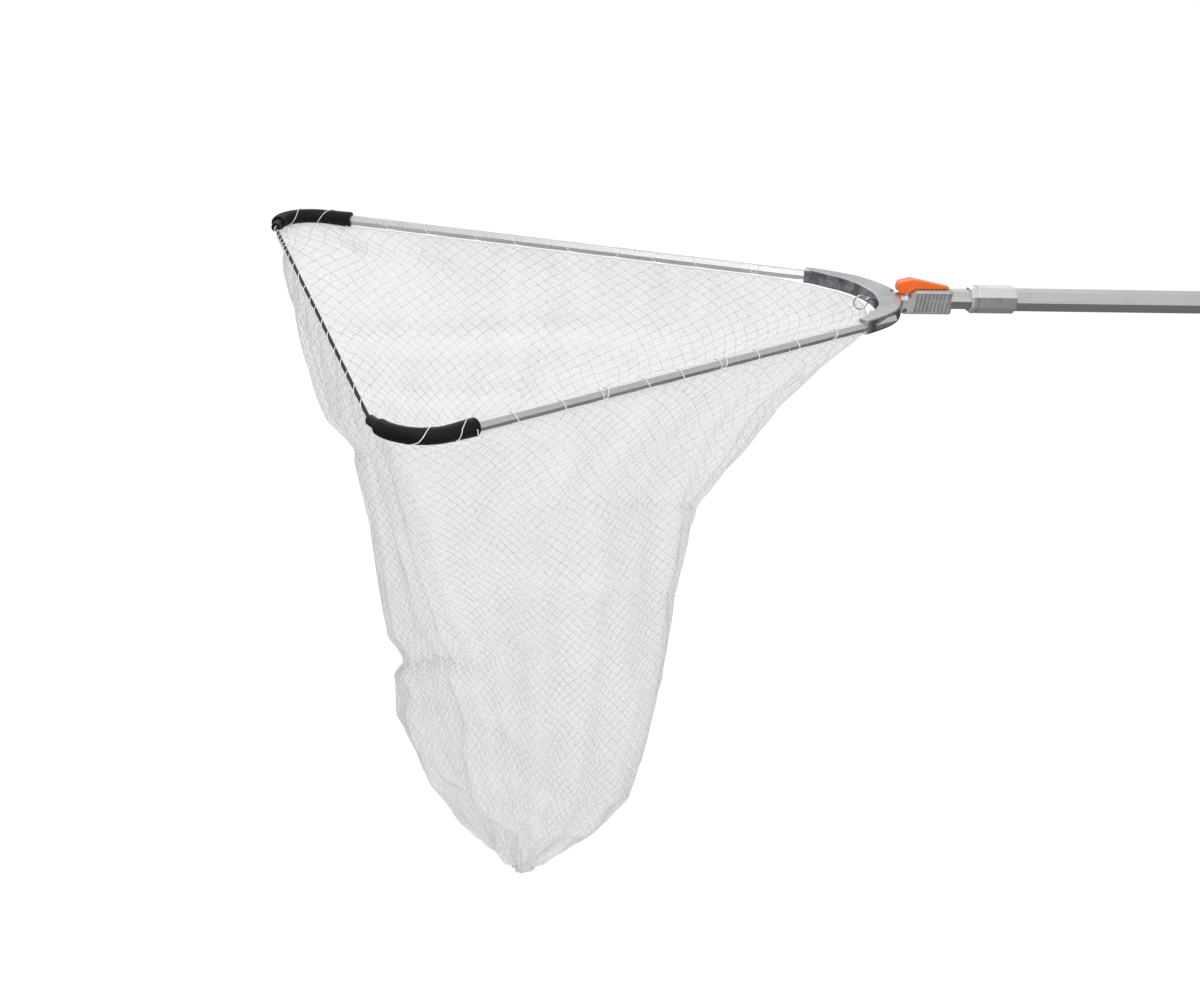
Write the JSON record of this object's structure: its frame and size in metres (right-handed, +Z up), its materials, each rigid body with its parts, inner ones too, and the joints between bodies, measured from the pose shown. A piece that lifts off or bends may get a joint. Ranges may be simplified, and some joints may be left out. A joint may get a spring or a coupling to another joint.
{
  "type": "landing net",
  "caption": "Folding landing net with a triangular head, taut front cord, hanging mesh bag, sprung latch lever and telescopic hexagonal pole.",
  "frame": {"origin": "centre of the flat end of the butt cap, on the pole's axis", "axes": "+X along the pole, from the net toward the butt; +Z up, away from the bag; Y across the mouth"},
  "size_m": [1.3092, 0.6929, 0.6422],
  "materials": {
    "pole_aluminium": "satin anodised",
    "arm_aluminium": "satin anodised",
    "collar_metal": "fine matte",
    "block_metal": "grey, smooth top and ribbed sides",
    "head_metal": "satin casting with polished walls",
    "steel": "plated",
    "black_moulding": "semi-matte moulding",
    "orange_plastic": "glossy moulding",
    "nylon": "natural",
    "grip_foam": "dense foam",
    "butt_rubber": "matte",
    "black_cord": "braided",
    "white_twine": "translucent monofilament",
    "net_mesh": "fine knotted mesh"
  },
  "bodies": {
    "handle": {"outer_tube": "pole_aluminium", "lock_collar": "collar_metal", "collar_bush": "nylon", "handle_grip": "grip_foam", "grip_ring": "black_moulding", "butt_cap": "butt_rubber"},
    "inner_pole": {"inner_tube": "pole_aluminium", "tail_guide": "nylon", "hinge_base": "block_metal", "base_screws": "steel", "hinge_pin": "steel", "pin_washers": "nylon"},
    "net_head": {"head_casting": "head_metal", "left_arm": "arm_aluminium", "right_arm": "arm_aluminium", "arm_rivets": "steel", "left_tip_elbow": "black_moulding", "right_tip_elbow": "black_moulding", "left_cord_ferrule": "black_moulding", "right_cord_ferrule": "black_moulding", "front_cord": "black_cord", "lacing_twine": "white_twine", "ring_eye": "steel", "latch_pin": "steel", "net_bag": "net_mesh"},
    "latch": {"latch_lever": "orange_plastic", "latch_spring": "steel"},
    "ring": {"split_ring": "steel"}
  },
  "joints": [
    {"name": "telescope", "type": "slide", "parent": "handle", "child": "inner_pole", "axis": [-1, 0, 0], "range_m": [0, 0.48]},
    {"name": "head_fold", "type": "hinge", "parent": "inner_pole", "child": "net_head", "pos_m": [-0.723, 0, -0.0095], "axis": [0, -1, 0], "range_deg": [0, 158], "deforming": ["net_bag"]},
    {"name": "latch_lift", "type": "hinge", "parent": "net_head", "child": "latch", "pos_m": [-0.7235, 0, 0.0015], "axis": [0, -1, 0], "range_deg": [0, 22], "stiffness_Nm_per_rad": 0.06, "springref_deg": -11.46},
    {"name": "ring_swing", "type": "hinge", "parent": "net_head", "child": "ring", "pos_m": [-0.76259, 0, -0.00114], "axis": [0, -1, 0], "range_deg": [-45, 25]}
  ]
}
